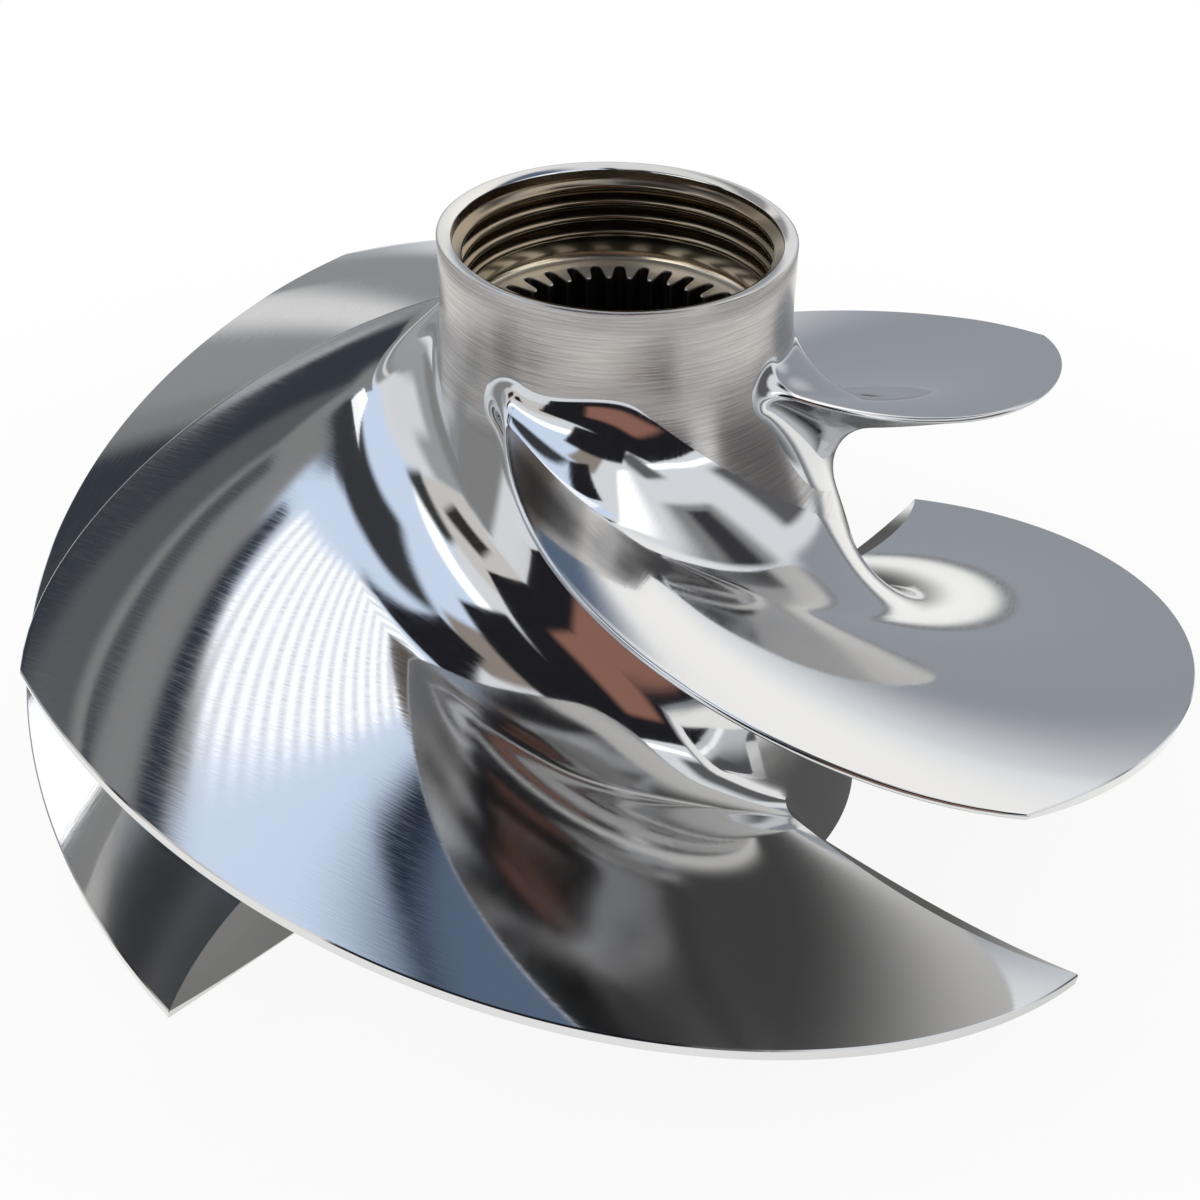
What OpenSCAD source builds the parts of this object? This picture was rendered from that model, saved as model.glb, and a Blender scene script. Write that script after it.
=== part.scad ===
// Axial pump impeller: a one-piece casting with a splined and threaded hub
// and swept blades wrapped round it. The inlet end is up.

/* [Overall] */
// Diameter over the ground blade tips
tip_d = 159; // [146:1:176]
// Height from the outlet face to the socket rim
hub_h = 83.1; // [82:0.1:92]
// Number of blades
blade_count = 4; // [3:1:5]
// Direction of the first blade's leading tip, in degrees from +X
first_blade = 303.5; // [0:0.1:360]

/* [Hub] */
// Wall of the socket round the relief groove, at the inlet end
socket_wall = 1.75; // [1.5:0.05:3.5]
// Straight length of the socket below its rim
socket_len = 7.3; // [5:0.1:12]
// Diameter where the flare ends
flare_d = 70.8; // [66:0.1:76]
// Height of the end of the flare above the outlet face
flare_z = 25; // [20:0.5:32]
// Outside diameter at the outlet face
outlet_d = 73; // [66:0.1:78]
// Chamfer round the outlet face
outlet_chamfer = 0.8; // [0.4:0.1:1.5]

/* [Blade form] */
// Height of the blade's middle surface at the trailing tip
trail_z = 8.65; // [6:0.05:10]
// Axial travel per turn of the blade surface at the leading tip
inlet_lead = 120.5; // [110:0.5:130]
// Axial travel per turn of the blade surface at the trailing edge
outlet_lead = 155; // [135:1:170]
// Angle that the tip wraps round the axis
tip_wrap = 104.4; // [96:0.1:110]
// How far the leading edge is swept back from tip to hub, in degrees
lead_sweep = 68.6; // [50:0.1:70]
// Bow of the leading edge seen along the axis, in degrees
lead_bow = 5.8; // [0:0.1:7]
// Hook of the leading edge towards the tip, in degrees
lead_hook = 3.4; // [0:0.1:5]

/* [Blade section] */
// Thickness at the tip
tip_t = 1.6; // [1.2:0.1:3]
// Thickness at the hub, without its fillets
root_t = 4.4; // [3:0.1:6]
// Thickness at the nose of the leading edge
nose_t = 0.8; // [0.6:0.1:2]
// Length over which the section thickens behind the nose
nose_len = 16; // [8:1:30]
// Width of the ground bevel on the trailing edge at the hub
bevel_w = 9; // [4:0.5:12]
// Slope of the bevel to the blade's face, in degrees
bevel_slope = 18; // [8:1:20]
// Fillet at the root, on the upper side
fillet_top = 9; // [5:0.5:10]
// Fillet at the root, on the under side
fillet_under = 7.5; // [5:0.5:8]
// Fillet at the root, round the nose and at the trailing edge
fillet_end = 3; // [2:0.5:4]

/* [Bore] */
// Width of the flat rim that the chamfer leaves
rim_flat = 0.35; // [0.2:0.05:0.8]
// Depth of the chamfer inside the rim, down the axis
rim_depth = 2; // [1:0.1:2.5]
// Diameter of the threaded mouth at the crests of the thread
thread_d = 37.8; // [34:0.1:42]
// Length of the threaded mouth below the rim
thread_len = 10.2; // [8:0.1:12]
// Depth of the thread and of the relief groove under it
thread_depth = 1.2; // [0.8:0.1:1.8]
// Width of the relief groove
relief_w = 2.5; // [1.5:0.1:3.5]
// Number of spline teeth
spline_n = 34; // [28:1:36]
// Width of the shoulder between the thread's crests and the spline's roots
shoulder_w = 0.7; // [0.3:0.1:1.5]
// Height of the spline teeth
tooth_h = 3.7; // [2.5:0.1:4.5]
// Direction of a gap between two teeth, in degrees from +X
spline_turn = 4.6; // [0:0.1:12]
// Length of the splines
spline_len = 30; // [20:1:34]
// Diameter of the bore for the pump shaft
shaft_d = 24; // [20:0.5:27]
// Diameter of the shaft seat in the outlet face
seat_d = 50; // [40:0.5:56]
// Depth of the shaft seat
seat_depth = 10; // [6:0.5:14]

/* [Hidden] */
$fn = 144;
tip_r = tip_d / 2;
mouth_r = thread_d / 2 + thread_depth;
socket_r = mouth_r + socket_wall;
rim_chamfer = socket_wall - rim_flat;
flare_r = flare_d / 2;
outlet_r = outlet_d / 2;
socket_z = hub_h - socket_len;
shoulder_z = hub_h - thread_len - relief_w;
spline_z = shoulder_z - spline_len;
spline_root_d = thread_d - 2 * shoulder_w;
spline_tip_d = spline_root_d - 2 * tooth_h;
lead_tip_z = trail_z + tip_wrap * (inlet_lead + outlet_lead) / 720;
flare_steps = 20;
chord_steps = 28;
fillet_rows = [-0.16, 0.05, 0.14, 0.28, 0.48, 0.74, 1];
span_steps = 9;
// Share of the chord over which a fillet grows from its end to its full radius
fillet_grow = 0.25;
// Fillet radius that is left where the bevel is ground
fillet_ground = 1;
// How fast a fillet widens inside the hub, for each millimetre of depth
fillet_bury = 0.8;
// How closely the chord's stations crowd towards the nose
nose_crowd = 0.4;
// Powers that shape the leading edge's hook and the bevel's ridge
hook_power = 10;
ridge_power = 3;
// Half widths of a spline gap at its root, its rounding and its mouth, in teeth
gap_root = 0.1;
gap_round = 0.22;
gap_mouth = 0.42;
// How far below the root diameter the rounding starts
round_drop = 0.8;
cut = 1;

function mix(a, b, t) = a + (b - a) * t;
function clamp01(t) = min(1, max(0, t));
function ease(t) = t * t * (3 - 2 * t);

// Radius of the hub at height z
function hub_r(z) =
    z < flare_z ? mix(outlet_r, flare_r, max(0, z) / flare_z)
    : mix(flare_r, socket_r, ease(clamp01((z - flare_z) / (socket_z - flare_z))));

// Height of the blade's middle surface at angle a behind the leading tip
function sheet_z(a) = lead_tip_z - a * inlet_lead / 360
    - a * a * (outlet_lead - inlet_lead) / (720 * tip_wrap);
// Axial travel per turn there
function sheet_lead(a) = mix(inlet_lead, outlet_lead, a / tip_wrap);

// Angle of the leading edge; s runs from 0 at the hub to 1 at the tip
function lead_a(s) = mix(-lead_sweep, -lead_hook, s) + lead_hook * pow(s, hook_power)
    + lead_bow * 4 * s * (1 - s);

// Radius of the hub where the blade meets it, at t along the chord
function root_r(t) = hub_r(sheet_z(mix(lead_a(0), tip_wrap, min(1, t))));

// How far a round fillet of radius r stands out at distance d from the hub;
// inside the hub it goes on widening, so that the two surfaces cross plainly
function fillet(d, r) =
    d >= r ? 0
    : d < 0 ? r - d * fillet_bury
    : r * (1 - sqrt(1 - pow(1 - max(fillet_rows[1], d / r), 2)));

// Degrees round the axis for each millimetre of arc at radius r
function per_mm(r) = 180 / (PI * r);

// Fillet radius at t along the chord, on the side that direction e points to
function fillet_r(t, e) =
    t > 1 && e > 0 ? fillet_ground
    : mix(fillet_end, e > 0 ? fillet_top : fillet_under,
        ease(clamp01(min(t, 1 - t) / fillet_grow)));

// Point on a blade: d from the hub, t along the chord, and e the direction in
// which the section is seen from its middle line: 90 up, 0 forward, -90 down
function blade_point(d, t, e) =
    let (
        s = d / (tip_r - root_r(t)),
        at = max(0, s),
        mean_r = mix(root_r(t), tip_r, s),
        a0 = lead_a(at),
        steep = atan(sheet_lead(mix(a0, tip_wrap, t)) / (2 * PI * mean_r)),
        chord = (tip_wrap - a0) / per_mm(mean_r) / cos(steep),
        bevel = bevel_w * (1 - min(0.99, pow(at, ridge_power))),
        x = t <= 1 ? (chord - bevel) * mix(t, t * t, nose_crowd) : chord,
        thick = mix(nose_t, mix(root_t, tip_t, at), sin(90 * clamp01(x / nose_len))),
        stand = fillet(d, fillet_r(t, e)),
        ground = t > 1 && e > 0 ? bevel * tan(bevel_slope) : 0,
        lift = sin(e) * (thick / 2 + stand - ground),
        along = x + nose_t / 2 - cos(e) * (nose_t / 2 + stand),
        a = a0 + along * cos(steep) * per_mm(mean_r),
        slope = atan(sheet_lead(a) / (2 * PI * mean_r)),
        z = sheet_z(a) + lift * cos(slope),
        turn = a + lift * sin(slope) * per_mm(mean_r),
        r = mix(hub_r(z), tip_r, s)
    )
    [r * cos(turn), r * sin(turn), z];

module hub() {
    rotate_extrude()
        polygon(concat(
            [[0, 0], [outlet_r - outlet_chamfer, 0]],
            [[hub_r(outlet_chamfer), outlet_chamfer]],
            [for (i = [0 : flare_steps])
                let (z = mix(flare_z, socket_z, i / flare_steps)) [hub_r(z), z]],
            [[socket_r, hub_h], [0, hub_h]]));
}

// One blade: rings round its section, from inside the hub out to the tip
module blade() {
    ring = concat(
        [for (i = [chord_steps + 1 : -1 : 0]) [i / chord_steps, 90]],
        [for (e = [60 : -30 : -60]) [0, e]],
        [for (i = [0 : chord_steps + 1]) [i / chord_steps, -90]]);
    rows = len(fillet_rows) + span_steps;
    n = len(ring);
    function row_d(k, t, e) =
        let (r = fillet_r(t, e))
        k < len(fillet_rows) ? fillet_rows[k] * r
        : mix(r, tip_r - root_r(t), (k - len(fillet_rows) + 1) / span_steps);
    points = [for (k = [0 : rows - 1]) for (p = ring)
        blade_point(row_d(k, p[0], p[1]), p[0], p[1])];
    function at(k, j) = k * n + j % n;
    faces = concat(
        [for (k = [0 : rows - 2]) for (j = [0 : n - 1]) each [
            [at(k, j), at(k + 1, j + 1), at(k, j + 1)],
            [at(k, j), at(k + 1, j), at(k + 1, j + 1)]]],
        [for (k = [0, rows - 1]) for (j = [0 : (n - 3) / 2])
            let (
                a = at(k, j),
                b = at(k, j + 1),
                c = at(k, n - 2 - j),
                d = at(k, n - 1 - j)
            )
            each concat(
                [k == 0 ? [a, b, d] : [a, d, b]],
                b == c ? [] : [k == 0 ? [b, c, d] : [b, d, c]])]);
    polyhedron(points, faces, convexity = 6);
}

// The splined hole: gaps with rounded roots between straight-flanked teeth
module spline_hole() {
    gap = [
        [-gap_mouth, spline_tip_d],
        [-gap_round, spline_root_d - round_drop],
        [-gap_root, spline_root_d],
        [gap_root, spline_root_d],
        [gap_round, spline_root_d - round_drop],
        [gap_mouth, spline_tip_d]
    ];
    rotate([0, 0, spline_turn])
        linear_extrude(spline_len + cut)
            polygon([for (i = [0 : spline_n - 1]) for (p = gap)
                let (a = (i + p[0]) * 360 / spline_n) p[1] / 2 * [cos(a), sin(a)]]);
}

// Everything that is machined out of the hub along its axis
module machining() {
    translate([0, 0, hub_h - rim_depth])
        cylinder(h = rim_depth * 2, r1 = mouth_r, r2 = mouth_r + rim_chamfer * 2);
    translate([0, 0, hub_h - rim_depth - thread_depth])
        cylinder(h = thread_depth, r1 = thread_d / 2, r2 = mouth_r);
    translate([0, 0, shoulder_z])
        cylinder(h = thread_len + relief_w + cut, d = thread_d);
    translate([0, 0, shoulder_z])
        cylinder(h = relief_w, r = mouth_r);
    translate([0, 0, spline_z])
        spline_hole();
    translate([0, 0, -cut])
        cylinder(h = spline_z + 2 * cut, d = shaft_d);
    translate([0, 0, -cut])
        cylinder(h = seat_depth + cut, d = seat_d);
}

module impeller() {
    color("gainsboro")
        difference() {
            union() {
                hub();
                for (i = [0 : blade_count - 1])
                    rotate([0, 0, first_blade + i * 360 / blade_count])
                        blade();
            }
            machining();
        }
}

impeller();
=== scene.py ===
import math

import bpy
import numpy as np
from mathutils import Matrix, Vector


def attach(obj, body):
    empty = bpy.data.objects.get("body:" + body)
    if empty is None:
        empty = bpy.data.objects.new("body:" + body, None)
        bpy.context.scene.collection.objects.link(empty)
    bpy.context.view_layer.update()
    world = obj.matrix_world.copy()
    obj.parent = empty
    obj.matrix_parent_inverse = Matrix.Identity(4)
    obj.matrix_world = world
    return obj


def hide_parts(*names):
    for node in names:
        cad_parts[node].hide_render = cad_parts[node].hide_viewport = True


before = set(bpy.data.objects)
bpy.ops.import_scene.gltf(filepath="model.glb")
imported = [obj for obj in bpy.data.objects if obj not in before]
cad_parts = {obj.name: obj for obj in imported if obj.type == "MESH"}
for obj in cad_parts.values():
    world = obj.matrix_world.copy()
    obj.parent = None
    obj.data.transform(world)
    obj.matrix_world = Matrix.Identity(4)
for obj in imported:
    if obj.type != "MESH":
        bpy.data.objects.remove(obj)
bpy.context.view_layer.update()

# The hub is the core of the stainless casting: a straight socket at the inlet
# end that flares out to the outlet end. It is turned inside: a rim, the wall of
# the thread, a relief, the spline's shoulder, the shaft's bore and its seat.

# Sizes of the metal are in millimetres, and angles in degrees.
MM = 0.001
HUB_H = 83.1
SOCKET_R = 21.85
SOCKET_Z = HUB_H - 7.3
SOCKET_LOOP_Z = HUB_H - 3.0
FLARE_R = 35.4
FLARE_Z = 25.0
FLARE_START_Z = 1.2
FLARE_POINTS = 64
OUTLET_R = 36.5
OUTLET_CHAMFER = 0.8
OUTLET_ROUND = 0.25
RIM_DEPTH = 0.5
RIM_ROUND = 0.3
MOUTH_R = 20.1
MOUTH_ROUND = 0.15
RELIEF_COVE = 1.5
SHOULDER_Z = 70.4
SHOULDER_ROUND = 0.12
SPLINE_ROOT_R = 18.2
SPLINE_Z = 40.4
SHAFT_R = 12.0
SHAFT_ROUND = 0.4
SEAT_R = 25.0
SEAT_DEPTH = 10.0
SEAT_ROUND = 0.5
LARGE_ROUND = 1.0
LARGE_ROUND_POINTS = 9
SMALL_ROUND_POINTS = 4
HUB_STEPS = 256
HUB_MERGE = 1e-6
HUB_SMOOTH = 14
OUTSIDE_DEPTH = 0.6
OUTSIDE_FOOT = 0.1


def mix(a, b, t):
    """The value at the share t of the way from a to b."""
    return a + (b - a) * t


def ease(t):
    """A soft step, from 0 at 0 to 1 at 1."""
    t = np.clip(t, 0.0, 1.0)
    return t * t * (3 - 2 * t)


def hub_r(z):
    """Outside radius of the hub at height z, in millimetres."""
    below = mix(OUTLET_R, FLARE_R, np.maximum(z, 0.0) / FLARE_Z)
    above = mix(FLARE_R, SOCKET_R, ease((z - FLARE_Z) / (SOCKET_Z - FLARE_Z)))
    return np.where(z < FLARE_Z, below, above)


def step_towards(start, end, distance):
    """The point at a distance from start, on the line to end."""
    way = np.array(end) - start
    return start + distance * way / np.hypot(*way)


def rounded(corners):
    """A closed outline from (radius, height, rounding) corners, each a small curve."""
    outline = []
    for i, (r, z, rounding) in enumerate(corners):
        here = np.array([r, z])
        if rounding == 0:
            outline.append(here)
            continue
        start = step_towards(here, corners[i - 1][:2], rounding)
        end = step_towards(here, corners[(i + 1) % len(corners)][:2], rounding)
        for t in np.linspace(0, 1, SMALL_ROUND_POINTS if rounding < LARGE_ROUND else LARGE_ROUND_POINTS):
            outline.append((1 - t) ** 2 * start + 2 * t * (1 - t) * here + t * t * end)
    return outline


def select(pieces):
    """Select these pieces alone, and make the first one active."""
    bpy.ops.object.select_all(action="DESELECT")
    for piece in pieces:
        piece.select_set(True)
    bpy.context.view_layer.objects.active = pieces[0]


def new_piece(name, points, edges, faces):
    """A piece of its own, from points in millimetres."""
    mesh = bpy.data.meshes.new(name)
    mesh.from_pydata([(x * MM, y * MM, z * MM) for x, y, z in points], edges, faces)
    piece = bpy.data.objects.new(name, mesh)
    bpy.context.scene.collection.objects.link(piece)
    return piece


def close_seams(distance):
    """In edit mode, merge the points that meet and turn all faces outwards."""
    bpy.ops.mesh.select_all(action="SELECT")
    bpy.ops.mesh.remove_doubles(threshold=distance)
    bpy.ops.mesh.normals_make_consistent(inside=False)


def shade_smooth(piece, degrees):
    """Shade a piece smooth, with edges sharper than an angle left crisp."""
    select([piece])
    bpy.ops.object.shade_smooth_by_angle(angle=math.radians(degrees))


flare = [(float(hub_r(z)), z, 0) for z in np.linspace(FLARE_START_Z, SOCKET_Z, FLARE_POINTS)]
corners = [
    (OUTLET_R - OUTLET_CHAMFER, 0.0, OUTLET_ROUND),
    (OUTLET_R, OUTLET_CHAMFER, OUTLET_ROUND),
    *flare,
    (SOCKET_R, SOCKET_LOOP_Z, 0),
    (SOCKET_R, HUB_H, RIM_ROUND),
    (MOUTH_R, HUB_H - RIM_DEPTH, MOUTH_ROUND),
    (MOUTH_R, SHOULDER_Z, RELIEF_COVE),
    (SPLINE_ROOT_R, SHOULDER_Z, SHOULDER_ROUND),
    (SPLINE_ROOT_R, SPLINE_Z, 0),
    (SHAFT_R, SPLINE_Z, SHAFT_ROUND),
    (SHAFT_R, SEAT_DEPTH, SHAFT_ROUND),
    (SEAT_R, SEAT_DEPTH, SEAT_ROUND),
    (SEAT_R, 0.0, SEAT_ROUND),
]
profile = [(r, 0.0, z) for r, z in rounded(corners)]
hub = new_piece("hub", profile, [(i, (i + 1) % len(profile)) for i in range(len(profile))], [])
select([hub])
bpy.ops.object.mode_set(mode="EDIT")
bpy.ops.mesh.select_all(action="SELECT")
bpy.ops.mesh.spin(steps=HUB_STEPS, angle=math.tau, center=(0, 0, 0), axis=(0, 0, 1))
close_seams(HUB_MERGE)
bpy.ops.object.mode_set(mode="OBJECT")
shade_smooth(hub, HUB_SMOOTH)


def plug(tree, node, inputs):
    """Fill a node's inputs: another node's socket is linked, and a value is set."""
    for name, value in inputs.items():
        if isinstance(value, bpy.types.NodeSocket):
            tree.links.new(value, node.inputs[name])
        else:
            node.inputs[name].default_value = value


def add_node(tree, kind, inputs, **settings):
    """Add a node, choose its settings and fill its inputs."""
    node = tree.nodes.new(kind)
    for name, setting in settings.items():
        setattr(node, name, setting)
    plug(tree, node, inputs)
    return node


def split(tree, vector):
    """The X, Y and Z of a vector."""
    return add_node(tree, "ShaderNodeSeparateXYZ", {0: vector}).outputs


def calculate(tree, operation, *values):
    """A Math node's result from numbers or sockets."""
    return add_node(tree, "ShaderNodeMath", dict(enumerate(values)), operation=operation).outputs[0]


def calculate_vector(tree, operation, *values):
    """A Vector Math node's outputs, Vector and Value."""
    return add_node(tree, "ShaderNodeVectorMath", dict(enumerate(values)), operation=operation).outputs


def remap(tree, value, before, after=(0.0, 1.0), **settings):
    """A value taken from one range to another."""
    ranges = {"From Min": before[0], "From Max": before[1], "To Min": after[0], "To Max": after[1]}
    return add_node(tree, "ShaderNodeMapRange", {"Value": value, **ranges}, **settings).outputs["Result"]


def tint(tree, share, first, second, **settings):
    """A colour at a share of the way from the first to the second."""
    inputs = {"Factor": share, "A": first, "B": second}
    return add_node(tree, "ShaderNodeMix", inputs, data_type="RGBA", **settings).outputs["Result"]


def stretched(tree, place, stretch):
    """Coordinates on which a pattern comes out finer by a number for each axis."""
    return add_node(tree, "ShaderNodeMapping", {"Vector": place, "Scale": stretch}).outputs["Vector"]


def noise(tree, place, scale, detail, roughness=0.5):
    """A soft random pattern, from 0 to 1."""
    inputs = {"Vector": place, "Scale": scale, "Detail": detail, "Roughness": roughness}
    return add_node(tree, "ShaderNodeTexNoise", inputs).outputs["Fac"]


# The fine marks that polishing and turning leave are thin, short and shallow.
# The group puts out a height for the bump and a mask for the tone and the gloss.
MARK_DETAIL = 1.5
MARK_ROUGHNESS = 0.6
marks = bpy.data.node_groups.new("polishing_marks", "ShaderNodeTree")
marks.interface.new_socket("Stroke", in_out="INPUT", socket_type="NodeSocketVector")
marks.interface.new_socket("Depth", in_out="INPUT", socket_type="NodeSocketFloat")
for name in ("Height", "Mask"):
    marks.interface.new_socket(name, in_out="OUTPUT", socket_type="NodeSocketFloat")
asked = add_node(marks, "NodeGroupInput", {}).outputs
strokes = noise(marks, asked["Stroke"], 1.0, MARK_DETAIL, MARK_ROUGHNESS)
height = calculate(marks, "MULTIPLY", strokes, asked["Depth"])
add_node(marks, "NodeGroupOutput", {"Height": height, "Mask": strokes})


def new_metal(name):
    """A bare metal material, with its node tree, its shader and its coordinates."""
    metal = bpy.data.materials.new(name)
    metal.use_nodes = True
    tree = metal.node_tree
    shader = tree.nodes["Principled BSDF"]
    plug(tree, shader, {"Metallic": 1.0})
    return metal, tree, shader, add_node(tree, "ShaderNodeTexCoord", {}).outputs


def add_marks(tree, place, stretch, depth):
    """Marks on a material, stretched the way that the tool went."""
    inputs = {"Stroke": stretched(tree, place, stretch), "Depth": depth}
    return add_node(tree, "ShaderNodeGroup", inputs, node_tree=marks).outputs


def add_bump(tree, height):
    """The normal of a surface whose height is given in millimetres."""
    return add_node(tree, "ShaderNodeBump", {"Distance": MM, "Height": height}).outputs["Normal"]


# Outside, the socket is brushed round in the lathe, and below a ragged border
# the flare is polished to a mirror with slight waves. The border lies lower
# towards the front right. Places on a material are in metres.
SATIN_Z = 0.0665
SATIN_FADE = 0.0025
SATIN_DARK = (0.36, 0.345, 0.33, 1)
SATIN_LIGHT = (0.68, 0.655, 0.63, 1)
SATIN_STRETCH = (140, 140, 4600)
MIRROR_COLOUR = (0.66, 0.66, 0.665, 1)
HUB_ROUGHNESS = (0.075, 0.22)
HUB_DEPTH = (0.0008, 0.011)
RAGGED = 0.012
RAGGED_STRETCH = (60, 60, 700)
RAGGED_DETAIL = 3.0
FRONT_RIGHT = (0.94, -0.342, 0)
LOWERED_FROM = 0.0134
LOWERED_BY = 0.04
WAVE_SCALE = 120.0
WAVE_DETAIL = 1.0
WAVE_DEPTH = 0.10
hub_polish, tree, shader, place = new_metal("hub_polish")
height = split(tree, place["Object"])["Z"]
ragged = noise(tree, stretched(tree, place["Object"], RAGGED_STRETCH), 1.0, RAGGED_DETAIL)
towards = calculate_vector(tree, "DOT_PRODUCT", place["Object"], FRONT_RIGHT)["Value"]
lowered = remap(tree, towards, (LOWERED_FROM, LOWERED_FROM + LOWERED_BY), (0.0, LOWERED_BY))
raised = calculate(tree, "ADD", lowered, height)
border = calculate(tree, "MULTIPLY_ADD", ragged, RAGGED, raised)
middle = SATIN_Z + RAGGED / 2
fade = (middle - SATIN_FADE, middle + SATIN_FADE)
satin = remap(tree, border, fade, interpolation_type="SMOOTHSTEP")
depth = remap(tree, satin, (0.0, 1.0), HUB_DEPTH)
lathe = add_marks(tree, place["Object"], SATIN_STRETCH, depth)
waves = noise(tree, place["Object"], WAVE_SCALE, WAVE_DETAIL)
relief = calculate(tree, "MULTIPLY_ADD", waves, WAVE_DEPTH, lathe["Height"])
brushed = tint(tree, lathe["Mask"], SATIN_DARK, SATIN_LIGHT)
finish = {
    "Base Color": tint(tree, satin, MIRROR_COLOUR, brushed),
    "Roughness": remap(tree, satin, (0.0, 1.0), HUB_ROUGHNESS),
    "Normal": add_bump(tree, relief),
}
plug(tree, shader, finish)

# Inside, the bore is turned steel, tinted bronze over the thread and the relief,
# with light and shade painted into its tone by height: painted shade darkens the
# thread and the bore under the shoulder, and painted highlight makes the shoulder
# pale and the relief bright. Each row gives a height, the tone there and its
# roughness, from the seat over the spline, its shoulder, the relief and the thread
# to the rim.
BORE_PAINTED_TONES = [
    (0.0120, (0.50, 0.50, 0.49), 0.3),
    (0.0300, (0.10, 0.10, 0.10), 0.3),
    (0.07015, (0.16, 0.15, 0.14), 0.3),
    (0.07025, (0.86, 0.85, 0.83), 0.5),
    (0.0705, (0.86, 0.85, 0.83), 0.5),
    (0.0707, (0.85, 0.73, 0.54), 0.2),
    (0.0727, (0.80, 0.67, 0.48), 0.2),
    (0.0732, (0.29, 0.235, 0.17), 0.18),
    (0.0822, (0.29, 0.235, 0.17), 0.18),
    (0.0825, (0.68, 0.66, 0.63), 0.06),
    (0.0831, (0.68, 0.67, 0.65), 0.06),
]
BORE_LOW = BORE_PAINTED_TONES[0][0]
BORE_HIGH = BORE_PAINTED_TONES[-1][0]
BORE_STRETCH = (80, 80, 4200)
BORE_DEPTH = 0.003
bore_turned_painted_light, tree, shader, place = new_metal("bore_turned_painted_light")
height = split(tree, place["Object"])["Z"]
level = remap(tree, height, (BORE_LOW, BORE_HIGH))
# The ramp paints light and shade into the base colour: painted shade in the thread and under the shoulder,
# painted highlight on the shoulder and the relief.
painted_bore_ramp = add_node(tree, "ShaderNodeValToRGB", {"Fac": level})
stops = painted_bore_ramp.color_ramp.elements
for i, (z, tone, roughness) in enumerate(BORE_PAINTED_TONES):
    at = (z - BORE_LOW) / (BORE_HIGH - BORE_LOW)
    stop = stops[i] if i < 2 else stops.new(at)
    stop.position = at
    stop.color = (*tone, roughness)
lathe = add_marks(tree, place["Object"], BORE_STRETCH, BORE_DEPTH)
finish = {
    "Base Color": painted_bore_ramp.outputs["Color"],
    "Roughness": painted_bore_ramp.outputs["Alpha"],
    "Normal": add_bump(tree, lathe["Height"]),
}
plug(tree, shader, finish)

hub.data.materials.append(bore_turned_painted_light)
hub.data.materials.append(hub_polish)
for face in hub.data.polygons:
    x, y, z = face.center / MM
    outside = math.hypot(x, y) > hub_r(z) - OUTSIDE_DEPTH and z > OUTSIDE_FOOT
    face.material_index = 1 if outside else 0

# The thread is cut into the mouth's steel with a pitch of 2.1 mm. It is one
# ridge that winds down the wall, rises out of the rim and runs out above the
# relief. Its outline is given as radius and height, from foot to crest.
THREAD_R = 18.9
THREAD_PITCH = 2.1
THREAD_TOP = HUB_H - RIM_DEPTH
THREAD_END = 72.9
THREAD_STEPS = 176
THREAD_TOP_FADE = 1.1
THREAD_END_FADE = 0.7
THREAD_START = math.radians(270)
THREAD_FOOT_R = MOUTH_R + 0.3
THREAD_SMOOTH = 40
CREST_Z = 80.75
thread_flank = [
    (THREAD_FOOT_R, 0.98),
    (MOUTH_R - 0.06, 0.92),
    (THREAD_R + 0.16, 0.32),
    (THREAD_R + 0.03, 0.2),
    (THREAD_R, 0.07),
]
ridge = [(r, -dz) for r, dz in thread_flank] + [(r, dz) for r, dz in reversed(thread_flank)]


def swept_faces(rows, count):
    """Faces of a closed outline of count points that is swept through rows."""
    faces = [tuple(reversed(range(count)))]
    for start in range(0, (rows - 1) * count, count):
        for j in range(count):
            k = (j + 1) % count
            faces.append((start + j, start + k, start + count + k, start + count + j))
    faces.append(tuple(range((rows - 1) * count, rows * count)))
    return faces


turns = math.ceil((THREAD_TOP - THREAD_END) / THREAD_PITCH) + 1
rows = turns * THREAD_STEPS + 1
points = []
for i in range(rows):
    a = THREAD_START + math.tau * i / THREAD_STEPS
    for r, dz in ridge:
        z = CREST_Z + THREAD_PITCH / 2 - THREAD_PITCH * i / THREAD_STEPS + dz
        rising = max(0.0, (THREAD_TOP - z) / THREAD_TOP_FADE)
        ending = max(0.0, (z - THREAD_END) / THREAD_END_FADE)
        r = mix(THREAD_FOOT_R, r, ease(min(1.0, rising, ending)))
        z = min(THREAD_TOP, max(THREAD_END, z))
        points.append((r * math.cos(a), r * math.sin(a), z))
thread = new_piece("thread", points, [], swept_faces(rows, len(ridge)))
thread.data.materials.append(bore_turned_painted_light)
shade_smooth(thread, THREAD_SMOOTH)

# The spline has thirty-four steel teeth, broached into the hub under the
# shoulder. A tooth has straight flanks, a rounded crest and its foot in the
# wall. Its outline is given as radius and half the width in shares of a pitch.
SPLINE_N = 34
SPLINE_TURN = 4.6
SPLINE_TIP_R = 14.5
SPLINE_SMOOTH = 30
tooth_flank = [
    (SPLINE_ROOT_R + 0.4, 0.43),
    (SPLINE_ROOT_R - 0.05, 0.41),
    (SPLINE_ROOT_R - 0.35, 0.33),
    (SPLINE_ROOT_R - 0.9, 0.265),
    (SPLINE_TIP_R + 0.45, 0.16),
    (SPLINE_TIP_R + 0.15, 0.12),
    (SPLINE_TIP_R, 0.06),
]
tooth = [(r, -w) for r, w in tooth_flank] + [(r, w) for r, w in reversed(tooth_flank)]
heights = [(SHOULDER_Z - 0.02, 0.1), (SHOULDER_Z - 0.14, 0.0), (SPLINE_Z - 0.3, 0.0)]
tooth_faces = swept_faces(len(heights), len(tooth))
points = []
faces = []
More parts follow.
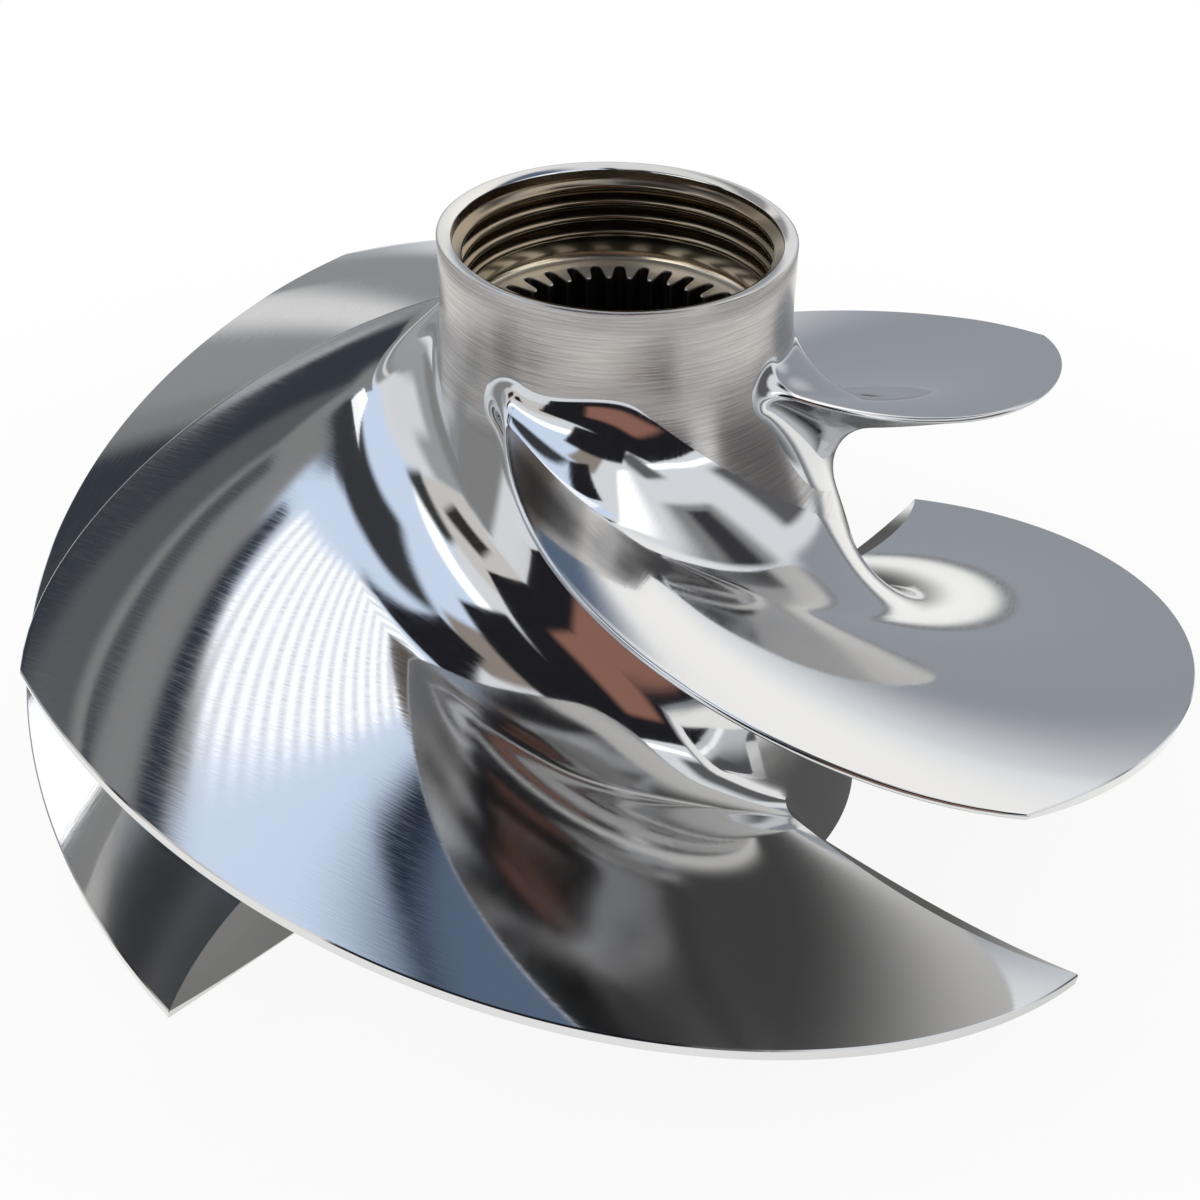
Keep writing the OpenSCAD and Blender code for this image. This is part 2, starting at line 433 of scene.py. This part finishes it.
for i in range(SPLINE_N):
    faces += [tuple(len(points) + corner for corner in face) for face in tooth_faces]
    for z, chamfer in heights:
        for r, w in tooth:
            a = math.radians(SPLINE_TURN + (i + 0.5 + w) * 360 / SPLINE_N)
            r = r + chamfer if r < SPLINE_ROOT_R else r
            points.append((r * math.cos(a), r * math.sin(a), z))
teeth = new_piece("teeth", points, [], faces)
teeth.data.materials.append(bore_turned_painted_light)
shade_smooth(teeth, SPLINE_SMOOTH)

# The four blades are cast with the hub. Each is a helical sheet whose pitch
# grows towards the outlet, with a rounded nose, large fillets into the hub,
# a ground bevel on its trailing edge and its tip turned to the wear ring.
TIP_R = 79.5
BLADES = 4
FIRST_BLADE = 303.5
TRAIL_Z = 8.65
INLET_LEAD = 120.5
OUTLET_LEAD = 155.0
TIP_WRAP = 104.4
LEAD_TIP_Z = TRAIL_Z + TIP_WRAP * (INLET_LEAD + OUTLET_LEAD) / 720
LEAD_SWEEP = 68.6
LEAD_BOW = 5.8
LEAD_HOOK = 3.4
HOOK_POWER = 10
TIP_T = 1.6
ROOT_T = 4.4
NOSE_T = 0.8
NOSE_LEN = 16.0
NOSE_STEP = 10
BEVEL_W = 9.0
BEVEL_SLOPE = 18.0
BEVEL_MOST_LOST = 0.99
FILLET_TOP = 9.0
FILLET_UNDER = 7.5
FILLET_END = 3.0
FILLET_GROUND = 1.0
FILLET_GROW = 0.25
FOOT_DEPTH = 0.5
FOOT_RISE = 0.01
FOOT_SPREAD = 0.45
TIP_EDGE = 0.18
TIP_ROUND = 0.16
CHORD_STEPS = 92
CHORD_CROWDING = 0.4
BEVEL_STEPS = 3
ARC_STEPS = 10
SPAN_STEPS = 34
BLADE_MERGE = 2e-6
BLADE_SMOOTH = 14
STROKE_TURN = 36.0
UNDERSIDE = -0.2
MASK_RANGE = (0.3, 0.7)


def sheet_z(a):
    """Height of the blade's middle surface at angle a behind the leading tip."""
    return LEAD_TIP_Z - a * INLET_LEAD / 360 - a * a * (OUTLET_LEAD - INLET_LEAD) / (720 * TIP_WRAP)


def sheet_lead(a):
    """How far the middle surface falls in a whole turn, at angle a."""
    return mix(INLET_LEAD, OUTLET_LEAD, a / TIP_WRAP)


def lead_a(s):
    """Angle of the leading edge at the share s of the span: swept, bowed and hooked."""
    hook = LEAD_HOOK * s**HOOK_POWER
    return mix(-LEAD_SWEEP, -LEAD_HOOK, s) + hook + LEAD_BOW * 4 * s * (1 - s)


def blade_skin():
    """Rows of points round one blade, from inside the hub out to the tip."""
    # A section goes once round the blade. Each point of it has its share of the
    # chord, its angle round the nose and its share of the bevel.
    upper = [(1.0, 90.0, g) for g in np.linspace(1, 0, BEVEL_STEPS + 1)[:-1]]
    upper += [(i / CHORD_STEPS, 90.0, 0.0) for i in range(CHORD_STEPS, -1, -1)]
    nose = [(0.0, float(e), 0.0) for e in range(90 - NOSE_STEP, NOSE_STEP - 91, -NOSE_STEP)]
    lower = [(t, -e, g) for t, e, g in reversed(upper)]
    t, e, ground = np.array(upper + nose + lower + upper[:1]).T
    top_ground = np.where(e > 0, ground, 0.0)

    # The fillet is large along the blade, small at both ends and gone at the bevel.
    root_r = hub_r(sheet_z(mix(lead_a(0.0), TIP_WRAP, t)))
    grown = ease(np.minimum(t, 1 - t) / FILLET_GROW)
    fillet = mix(FILLET_END, np.where(e > 0, FILLET_TOP, FILLET_UNDER), grown)
    fillet = mix(fillet, FILLET_GROUND, top_ground)

    # A row has its distance from the hub and what the fillet adds to its half
    # thickness: the foot in the hub, the fillet's arc, the plain span, the tip.
    span = TIP_R - root_r
    plain = 0 * span
    rows = [(plain - FOOT_DEPTH, fillet + FOOT_SPREAD), (plain + FOOT_RISE, fillet + FOOT_SPREAD)]
    for arc in np.radians(np.linspace(0, 90, ARC_STEPS + 1)):
        rows.append((FOOT_RISE + fillet * (1 - np.cos(arc)), fillet * (1 - np.sin(arc))))
    for out in np.linspace(0, 1, SPAN_STEPS + 1)[1:-1]:
        rows.append((mix(FOOT_RISE + fillet, span, out), plain))
    rows += [(span - TIP_EDGE, plain), (span, plain - TIP_ROUND)]
    distance, spread = (np.array(column) for column in zip(*rows))

    # The section is laid along the sheet, thinner towards its nose and the tip.
    s = distance / span
    at = np.maximum(s, 0.0)
    mean_r = mix(root_r, TIP_R, s)
    lead = lead_a(at)
    steep = np.arctan(sheet_lead(mix(lead, TIP_WRAP, t)) / (math.tau * mean_r))
    chord = np.radians(TIP_WRAP - lead) * mean_r / np.cos(steep)
    bevel = BEVEL_W * (1 - np.minimum(BEVEL_MOST_LOST, at**3))
    x = (chord - bevel) * mix(t, t * t, CHORD_CROWDING) + bevel * ground
    full = np.sin(np.radians(90 * np.clip(x / NOSE_LEN, 0, 1)))
    thick = mix(NOSE_T, mix(ROOT_T, TIP_T, at), full)
    cut = top_ground * bevel * math.tan(math.radians(BEVEL_SLOPE))
    lift = np.sin(np.radians(e)) * (thick / 2 + spread - cut)
    along = x + NOSE_T / 2 - np.cos(np.radians(e)) * (NOSE_T / 2 + spread)

    # The sheet is wound round the axis, with its thickness square to its slope.
    a = lead + np.degrees(along * np.cos(steep) / mean_r)
    slope = np.arctan(sheet_lead(a) / (math.tau * mean_r))
    z = sheet_z(a) + lift * np.cos(slope)
    turn = np.radians(a + np.degrees(lift * np.sin(slope) / mean_r))
    r = mix(hub_r(z), TIP_R, s)
    skin = np.stack([r * np.cos(turn), r * np.sin(turn), z], -1)

    # A row along the middle closes the foot, and another closes the tip.
    middle = (skin[[0, -1]] + skin[[0, -1]][:, ::-1]) / 2
    return np.concatenate([middle[:1], skin, middle[1:]])


skin = blade_skin() * MM
rows, columns = skin.shape[:2]
bpy.ops.object.select_all(action="DESELECT")
bpy.ops.mesh.primitive_grid_add(x_subdivisions=columns - 1, y_subdivisions=rows - 1, size=1)
blade = bpy.context.object
blade.name = "blade_1"
blade.data.vertices.foreach_set("co", skin.reshape(-1))
blade.data.update()

# The UV map lies flat over the plan, turned to the way of the polishing strokes.
stroke = math.radians(STROKE_TURN)
plan = skin.reshape(-1, 3)[[loop.vertex_index for loop in blade.data.loops]]
across = plan[:, 0] * math.cos(stroke) + plan[:, 1] * math.sin(stroke)
going = plan[:, 1] * math.cos(stroke) - plan[:, 0] * math.sin(stroke)
blade.data.uv_layers.active.data.foreach_set("uv", np.stack([going, across], -1).reshape(-1))
bpy.ops.object.mode_set(mode="EDIT")
close_seams(BLADE_MERGE)
bpy.ops.object.mode_set(mode="OBJECT")
shade_smooth(blade, BLADE_SMOOTH)


def blade_finish(name, colour, stretch, depth, roughness):
    """Metal with straight strokes along one direction of the plan."""
    metal, tree, shader, place = new_metal(name)
    strokes = add_marks(tree, place["UV"], stretch, depth)
    finish = {
        "Base Color": colour,
        "Roughness": remap(tree, strokes["Mask"], MASK_RANGE, roughness),
        "Normal": add_bump(tree, strokes["Height"]),
    }
    plug(tree, shader, finish)
    return metal


# The upper faces are polished to a mirror, and the undersides only ground.
polished = blade_finish(
    "blade_polish",
    colour=(0.66, 0.665, 0.675, 1),
    stretch=(330, 3600, 1),
    depth=0.0011,
    roughness=(0.04, 0.085),
)
ground = blade_finish(
    "blade_ground",
    colour=(0.56, 0.555, 0.55, 1),
    stretch=(160, 2600, 1),
    depth=0.0008,
    roughness=(0.17, 0.22),
)
blade.data.materials.append(polished)
blade.data.materials.append(ground)
for face in blade.data.polygons:
    face.material_index = 1 if face.normal.z < UNDERSIDE else 0

blades = [blade]
for i in range(1, BLADES):
    copy = blade.copy()
    copy.data = blade.data.copy()
    copy.name = "blade_%d" % (i + 1)
    bpy.context.scene.collection.objects.link(copy)
    blades.append(copy)
for i, piece in enumerate(blades):
    piece.rotation_euler = (0, 0, math.radians(FIRST_BLADE + i * 360 / BLADES))
select(blades)
bpy.ops.object.transform_apply(location=True, rotation=True, scale=True)

# Hub, thread, spline and blades are one casting in one steel, so they are
# joined into one piece, which stands in for the node of the CAD model.
select([hub, thread, teeth] + blades)
bpy.ops.object.join()
impeller = bpy.context.object
impeller.name = "impeller_casting"
impeller.data.name = "impeller_casting"
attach(impeller, "root")
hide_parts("impeller")

# The floor is a sheet of pale paper that the impeller stands on. It keeps a faint
# shadow. To the polish it glows with painted light: a painted shadow dark under the
# impeller, a painted pool of light pale round about and painted grey shade farther off.
FLOOR_R = 0.25
FLOOR_Z = -0.0004
PAPER = (0.8, 0.79, 0.78, 1)
PAPER_ROUGHNESS = 0.9
PAPER_WHITE = (1, 1, 1, 1)
# The floor's glow in the polish is painted: a painted shadow in an ellipse under the impeller, a pale
# painted pool of light round it and painted grey shade beyond.
PAINTED_SHADOW_CENTRE = (0.02, 0.03, 0)
PAINTED_SHADOW_SIZE = (0.08, 0.13, 1)
PAINTED_SHADOW_EDGE = (0.55, 1.0)
PAINTED_SHADOW_DARK = (0.12, 0.117, 0.115, 1)
PAINTED_LIGHT_PALE = (1.1, 1.09, 1.07, 1)
FAR_EDGE = (0.18, 0.23)
PAINTED_FAR_SHADE = (0.26, 0.27, 0.285, 1)
WHITE_EDGE = (0.1, 0.22)
WHITE_SHARE = (0.9, 1.0)


def mix_shaders(tree, share, first, second):
    """Two shaders in one, with a share of the second."""
    inputs = {"Fac": share, 1: first, 2: second}
    return add_node(tree, "ShaderNodeMixShader", inputs).outputs["Shader"]


bpy.ops.object.select_all(action="DESELECT")
bpy.ops.mesh.primitive_circle_add(vertices=128, radius=FLOOR_R, fill_type="NGON", location=(0, 0, FLOOR_Z))
floor = bpy.context.object
floor.name = "floor"
paper = bpy.data.materials.new("floor_paper")
paper.use_nodes = True
tree = paper.node_tree
shader = tree.nodes["Principled BSDF"]
plug(tree, shader, {"Base Color": PAPER, "Roughness": PAPER_ROUGHNESS, "Specular IOR Level": 0.0})
place = add_node(tree, "ShaderNodeTexCoord", {}).outputs["Object"]
ellipse = {"Vector": place, "Location": PAINTED_SHADOW_CENTRE, "Scale": PAINTED_SHADOW_SIZE}
under = add_node(tree, "ShaderNodeMapping", ellipse, vector_type="TEXTURE").outputs["Vector"]
inside = calculate_vector(tree, "LENGTH", under)["Value"]
outside_painted_shadow = remap(tree, inside, PAINTED_SHADOW_EDGE, interpolation_type="SMOOTHSTEP")
away = calculate_vector(tree, "LENGTH", place)["Value"]
far = remap(tree, away, FAR_EDGE, interpolation_type="SMOOTHSTEP")
white = remap(tree, away, WHITE_EDGE, WHITE_SHARE, interpolation_type="SMOOTHSTEP")
# Painted shadow and painted light in the tone that the polish sees on the floor.
painted_shadow_tone = tint(tree, outside_painted_shadow, PAINTED_SHADOW_DARK, PAINTED_LIGHT_PALE)
mirrored = tint(tree, far, painted_shadow_tone, PAINTED_FAR_SHADE)
ray = add_node(tree, "ShaderNodeLightPath", {}).outputs
seen = calculate(tree, "MULTIPLY", white, ray["Is Camera Ray"])
reflected = calculate(tree, "MAXIMUM", ray["Is Glossy Ray"], ray["Is Transmission Ray"])
glowing = calculate(tree, "MAXIMUM", seen, reflected)
tone = tint(tree, ray["Is Camera Ray"], mirrored, PAPER_WHITE)
glow = add_node(tree, "ShaderNodeEmission", {"Color": tone}).outputs["Emission"]
surface = mix_shaders(tree, glowing, shader.outputs["BSDF"], glow)
plug(tree, tree.nodes["Material Output"], {"Surface": surface})
floor.data.materials.append(paper)

# The studio round the impeller is a set of soft panels, light and dark, for the
# polish to show. The group tells how much of one panel lies in a direction, and
# how far to the side of the panel's middle it is.
LEAST_AHEAD = 0.02

# A Map Range node for vectors has its ranges in sockets of its own, got by number.
RANGE_FROM_MIN, RANGE_FROM_MAX, RANGE_TO_MIN, RANGE_TO_MAX = 7, 8, 9, 10
panel = bpy.data.node_groups.new("soft_panel", "ShaderNodeTree")
for name in ("Direction", "Turn", "Inner", "Outer"):
    panel.interface.new_socket(name, in_out="INPUT", socket_type="NodeSocketVector")
for name in ("Mask", "Side"):
    panel.interface.new_socket(name, in_out="OUTPUT", socket_type="NodeSocketFloat")
asked = add_node(panel, "NodeGroupInput", {}).outputs
turned = {"Vector": asked["Direction"], "Rotation": asked["Turn"]}
faced = add_node(panel, "ShaderNodeVectorRotate", turned, rotation_type="EULER_XYZ").outputs["Vector"]
ahead = split(panel, faced)["X"]
depth = add_node(panel, "ShaderNodeCombineXYZ", {0: ahead, 1: ahead, 2: ahead}).outputs["Vector"]
flat = calculate_vector(panel, "DIVIDE", faced, depth)["Vector"]
side = split(panel, flat)["Y"]
inputs = {
    "Vector": calculate_vector(panel, "ABSOLUTE", flat)["Vector"],
    RANGE_FROM_MIN: asked["Inner"],
    RANGE_FROM_MAX: asked["Outer"],
    RANGE_TO_MIN: (1, 1, 1),
    RANGE_TO_MAX: (0, 0, 0),
}
settings = {"data_type": "FLOAT_VECTOR", "interpolation_type": "SMOOTHSTEP"}
faded = add_node(panel, "ShaderNodeMapRange", inputs, **settings).outputs["Vector"]
reach = split(panel, faded)
covered = calculate(panel, "MULTIPLY", reach["Y"], reach["Z"])
front = calculate(panel, "GREATER_THAN", ahead, LEAST_AHEAD)
mask = calculate(panel, "MULTIPLY", covered, front)
add_node(panel, "NodeGroupOutput", {"Mask": mask, "Side": side})

# A panel runs from one direction to another, each given by its azimuth and
# elevation. Then come half its height, its softness and its tone, with all
# angles in degrees. A later panel hangs in front of those before it.
BACKDROP = (0.95, 0.97, 1.0, 1)
SKY_WHITE = (1, 1, 1, 1)
RIBS = 16
RIB_TONES = (1.0, 0.42)
PANELS = [
    ("back_low", 35, -2, 112, -2, 15, 6, (0.37, 0.395, 0.435)),
    ("back_cream", 46, 32, 84, 32, 12, 9, (1.25, 1.23, 1.2)),
    ("back_mid", 98, 32, 146, 32, 13, 3, (0.36, 0.37, 0.38)),
    ("back_light", 98, 33, 146, 33, 2, 1.5, (0.95, 0.94, 0.93)),
    ("left_grey", 112, 8, 196, 8, 16, 5, (0.44, 0.46, 0.47)),
    ("right_light", 40, 40, 325, 44, 5, 2, (1.6, 1.6, 1.6)),
    ("right_grey", 40, 22, 355, 31, 8, 3, (0.3, 0.3, 0.3)),
    ("right_low", 330, -4, 22, -4, 10, 4, (0.14, 0.14, 0.145)),
    ("front_dim", 312, 33, 334, 33, 4, 2, (0.15, 0.15, 0.155)),
    ("right_dark", 38, 22, 0, 30, 3.5, 1.5, (0.05, 0.05, 0.06)),
    ("overhead", 165, 44, 278, 72, 31, 2.5, (0.84, 0.98, 1.2)),
    ("left_top", 132, 75, 222, 68, 13, 3, (0.05, 0.053, 0.06)),
    ("overhead_back", 84, 62, 20, 66, 16, 1.5, (0.84, 0.98, 1.2)),
    ("softbox_end", 80, 53.5, 48, 44.5, 6, 2.5, (0.13, 0.18, 0.27)),
    ("ribbed", 82, 72, 36, 59, 6.5, 1, (1.9, 1.95, 2.05)),
    ("softbox_rim", 60, 55, 42, 46, 1.4, 1, (0.02, 0.03, 0.05)),
    ("overhead_edge", 190, 38, 245, 45, 3, 1.2, (1.9, 1.9, 1.9)),
    ("ring_field", 140, 48, 88, 74, 10, 1, (0.3, 0.3, 0.3)),
    ("dark_band", 128, 48, 124, 68, 4.5, 1.5, (0.045, 0.055, 0.07)),
    ("ring_edge", 87, 60, 85, 77, 1, 0.6, (0.03, 0.04, 0.06)),
    ("back_ring", 97, 62, 110, 75, 0.9, 0.6, (0.09, 0.1, 0.11)),
    ("back_disc", 112, 59, 128, 72, 4, 1.5, (0.13, 0.14, 0.15)),
    ("left_low", 140, -6, 206, -2, 9, 4, (0.3, 0.3, 0.3)),
    ("left_light", 162, 14, 162, 38, 9, 4, (0.95, 0.95, 0.98)),
    ("left_brown", 184, 36, 212, 35, 4.5, 2, (0.05, 0.05, 0.05)),
    ("left_frame", 188, 19, 233, 19, 14, 2, (0.8, 0.77, 0.74)),
    ("left_hole", 198, 24, 216, 18, 6, 2, (0.04, 0.035, 0.03)),
    ("front_wall", 258, 58, 297, 58, 11, 2, (0.36, 0.31, 0.27)),
    ("arc", 22, 68, 272, 69, 6, 1, (0.015, 0.015, 0.02)),
    ("black_card", 243, 46, 312, 33, 11, 1.5, (0.015, 0.015, 0.02)),
    ("black_low", 227, 9, 318, 9, 24, 1, (0.015, 0.015, 0.02)),
    ("copper_card", 252, 9, 300, 5, 11, 3.5, (0.34, 0.165, 0.125)),
    ("right_line", 324, -5, 324, 30, 2, 0.7, (1.8, 1.8, 1.8)),
]


def pointing(azimuth, elevation):
    """The direction at an azimuth and an elevation in degrees."""
    azimuth = math.radians(azimuth)
    elevation = math.radians(elevation)
    level = math.cos(elevation)
    return Vector((level * math.cos(azimuth), level * math.sin(azimuth), math.sin(elevation)))


world = bpy.data.worlds.new("studio")
world.use_nodes = True
tree = world.node_tree
direction = add_node(tree, "ShaderNodeTexCoord", {}).outputs["Generated"]
studio = BACKDROP
for name, azimuth_1, elevation_1, azimuth_2, elevation_2, tall, soft, tone in PANELS:
    start = pointing(azimuth_1, elevation_1)
    end = pointing(azimuth_2, elevation_2)
    centre = (start + end).normalized()
    across = (end - start).normalized()
    wide = math.degrees(start.angle(end)) / 2
    wide, tall, soft = (math.tan(math.radians(angle)) for angle in (wide, tall, soft))
    # A panel is flat, so the first number of Inner and of Outer plays no part.
    hung = {
        "Direction": direction,
        "Turn": Matrix((centre, across, centre.cross(across))).to_euler(),
        "Inner": (-1, wide - soft, tall - soft),
        "Outer": (2, wide + soft, tall + soft),
    }
    card = add_node(tree, "ShaderNodeGroup", hung, node_tree=panel, name=name).outputs
    colour = (*tone, 1)
    if name == "ribbed":
        ribs = calculate(tree, "MULTIPLY", card["Side"], RIBS * math.pi / wide)
        wave = calculate(tree, "COSINE", ribs)
        shown = remap(tree, wave, (-1.0, 1.0), RIB_TONES)
        colour = tint(tree, 1.0, colour, shown, blend_type="MULTIPLY")
    studio = tint(tree, card["Mask"], studio, colour)

# Only what the polish mirrors is the studio: all else sees an even white sky.
sky = tree.nodes["Background"]
plug(tree, sky, {"Color": SKY_WHITE, "Strength": 1.0})
mirrored = add_node(tree, "ShaderNodeBackground", {"Color": studio, "Strength": 1.0}).outputs["Background"]
ray = add_node(tree, "ShaderNodeLightPath", {}).outputs["Is Glossy Ray"]
surface = mix_shaders(tree, ray, sky.outputs["Background"], mirrored)
plug(tree, tree.nodes["World Output"], {"Surface": surface})
bpy.context.scene.world = world
bpy.context.scene.view_settings.view_transform = "Standard"

# One small soft lamp hangs over the low blade at the left and shows white in
# its polish. It is a plain rectangle of light, out of the camera's sight.
LAMP_LEVEL = 1.4
lamp = bpy.data.objects.new("side_lamp", bpy.data.lights.new("side_lamp", "AREA"))
bpy.context.scene.collection.objects.link(lamp)
lamp.location = (-0.134, 0.044, 0.3)
lamp.rotation_euler = (0, 0, math.radians(-35))
lamp.data.shape = "RECTANGLE"
lamp.data.size = 0.07
lamp.data.size_y = 0.034
lamp.data.energy = LAMP_LEVEL * math.pi * lamp.data.size * lamp.data.size_y
lamp.visible_camera = False

# The camera looks down on the inlet end from the front, from close by. Its
# place, turn, lens and shift were fitted to the outline in the photograph.
camera = bpy.data.objects.new("camera", bpy.data.cameras.new("camera"))
bpy.context.scene.collection.objects.link(camera)
camera.location = (0.0, -0.198179, 0.169753)
camera.rotation_euler = [math.radians(v) for v in (49.91099, -2.66015, -2.10197)]
camera.data.sensor_width = 36
camera.data.lens = 51.4772
camera.data.shift_x = -0.093422
camera.data.shift_y = 0.117707
camera.data.clip_start = 0.01
bpy.context.scene.camera = camera
